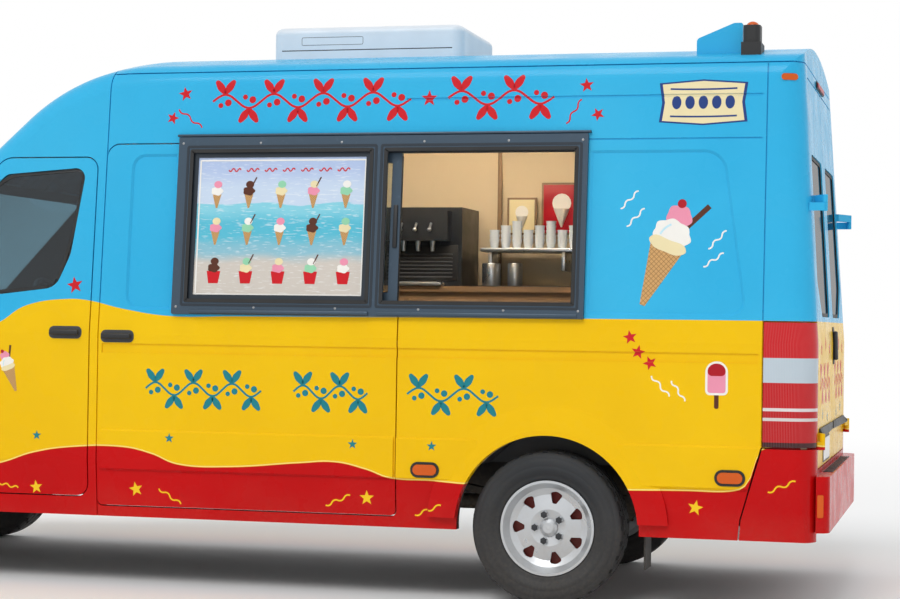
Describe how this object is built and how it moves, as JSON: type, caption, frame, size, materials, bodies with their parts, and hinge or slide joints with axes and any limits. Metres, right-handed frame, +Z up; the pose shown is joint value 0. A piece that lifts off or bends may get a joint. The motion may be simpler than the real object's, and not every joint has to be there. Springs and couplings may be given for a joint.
{
  "type": "ice cream van",
  "caption": "High-roof panel van with a framed serving hatch in its side, a cab with hinged doors and bonnet, twin rear doors and four wheels, two of them steered.",
  "frame": {"origin": "ground level below the middle of the vehicle", "axes": "forward is -X, the serving side is -Y, up is +Z"},
  "size_m": [5.9259, 2.414, 2.7419],
  "materials": {
    "body_paint": "gloss",
    "black_plastic": "grained",
    "white_plastic": "satin",
    "glass": "tinted",
    "clear_glass": "clear",
    "lamp_lens": "clear-coated",
    "head_lens": "clear",
    "amber_lens": "clear-coated",
    "dark_aluminium": "anodised",
    "steel": "brushed",
    "chassis_steel": "satin",
    "cast": "rough",
    "silver_paint": "satin",
    "tyre": "matte",
    "rubber": "matte",
    "trim_fabric": "woven",
    "worktop": "satin",
    "floor_cover": "matte",
    "menu_print": "satin"
  },
  "bodies": {
    "body": {"back_bench": "worktop", "cab_floor": "floor_cover", "cab_shell": "body_paint", "dashboard": "black_plastic", "engine_block": "cast", "exhaust": "steel", "fenders": "body_paint", "front_bumper": "body_paint", "front_subframe": "chassis_steel", "grille": "black_plastic", "hatch_frame": "dark_aluminium", "hatch_pane": "menu_print", "headlamps": "head_lens", "ice_cream_machine": "steel", "leaf_springs": "chassis_steel", "left_side": "body_paint", "load_floor": "floor_cover", "mud_flaps": "rubber", "outriggers": "chassis_steel", "rear_axle": "chassis_steel", "rear_bumper": "body_paint", "rear_frame": "body_paint", "right_side": "body_paint", "roof": "body_paint", "roof_lamp": "black_plastic", "roof_sign": "body_paint", "roof_unit": "white_plastic", "scuttle": "black_plastic", "seats": "trim_fabric", "serving_counter": "worktop", "side_door": "body_paint", "side_markers": "amber_lens", "tail_lamps": "lamp_lens", "underframe": "chassis_steel", "windscreen": "glass"},
    "cab_door_left": {"cab_door_left": "body_paint", "door_glass_left": "glass", "mirror_left": "black_plastic"},
    "cab_door_right": {"cab_door_right": "body_paint", "door_glass_right": "glass", "mirror_right": "black_plastic"},
    "bonnet": {"bonnet": "body_paint"},
    "rear_door_left": {"rear_door_left": "body_paint", "rear_glass_left": "glass"},
    "rear_door_right": {"rear_door_right": "body_paint", "rear_glass_right": "glass"},
    "hatch_sash": {"hatch_sash": "dark_aluminium", "sash_glass": "clear_glass"},
    "knuckle_left": {"knuckle_left": "cast"},
    "knuckle_right": {"knuckle_right": "cast"},
    "wheel_front_left": {"rim_front_left": "silver_paint", "tyre_front_left": "tyre"},
    "wheel_front_right": {"rim_front_right": "silver_paint", "tyre_front_right": "tyre"},
    "wheel_rear_left": {"rim_rear_left": "silver_paint", "tyre_rear_left": "tyre"},
    "wheel_rear_right": {"rim_rear_right": "silver_paint", "tyre_rear_right": "tyre"},
    "steering_wheel": {"steering_wheel": "black_plastic"}
  },
  "joints": [
    {"name": "cab_door_left_hinge", "type": "hinge", "parent": "body", "child": "cab_door_left", "pos_m": [-1.56, -0.988, 0.8], "axis": [0, 0, 1], "range_deg": [-68, 0]},
    {"name": "cab_door_right_hinge", "type": "hinge", "parent": "body", "child": "cab_door_right", "pos_m": [-1.56, 0.988, 0.8], "axis": [0, 0, 1], "range_deg": [0, 68]},
    {"name": "bonnet_hinge", "type": "hinge", "parent": "body", "child": "bonnet", "pos_m": [-2.33, 0, 1.18667], "axis": [0, 1, 0], "range_deg": [0, 55]},
    {"name": "rear_door_left_hinge", "type": "hinge", "parent": "body", "child": "rear_door_left", "pos_m": [2.925, -0.85, 1.3], "axis": [0, 0, 1], "range_deg": [-175, 0]},
    {"name": "rear_door_right_hinge", "type": "hinge", "parent": "body", "child": "rear_door_right", "pos_m": [2.925, 0.85, 1.3], "axis": [0, 0, 1], "range_deg": [0, 175]},
    {"name": "hatch_sash_slide", "type": "slide", "parent": "body", "child": "hatch_sash", "axis": [1, 0, 0], "range_m": [0, 0.825]},
    {"name": "steer_left", "type": "hinge", "parent": "body", "child": "knuckle_left", "pos_m": [-1.959, -0.7, 0.35], "axis": [0, 0, 1], "range_deg": [-33, 33]},
    {"name": "steer_right", "type": "hinge", "parent": "body", "child": "knuckle_right", "pos_m": [-1.959, 0.7, 0.35], "axis": [0, 0, 1], "range_deg": [-33, 33]},
    {"name": "wheel_front_left_spin", "type": "hinge", "parent": "knuckle_left", "child": "wheel_front_left", "pos_m": [-1.959, -0.855, 0.35], "axis": [0, 1, 0], "continuous": true},
    {"name": "wheel_front_right_spin", "type": "hinge", "parent": "knuckle_right", "child": "wheel_front_right", "pos_m": [-1.959, 0.855, 0.35], "axis": [0, 1, 0], "continuous": true},
    {"name": "wheel_rear_left_spin", "type": "hinge", "parent": "body", "child": "wheel_rear_left", "pos_m": [1.706, -0.855, 0.35], "axis": [0, 1, 0], "continuous": true},
    {"name": "wheel_rear_right_spin", "type": "hinge", "parent": "body", "child": "wheel_rear_right", "pos_m": [1.706, 0.855, 0.35], "axis": [0, 1, 0], "continuous": true},
    {"name": "steering_wheel_turn", "type": "hinge", "parent": "body", "child": "steering_wheel", "pos_m": [-1.37, 0.46, 1.33], "axis": [0.8, 0, 0.6], "range_deg": [-495, 495]}
  ],
  "couplings": [
    {"joint": "steer_right", "follows": "steer_left", "ratio": 1},
    {"joint": "steering_wheel_turn", "follows": "steer_left", "ratio": 15}
  ]
}
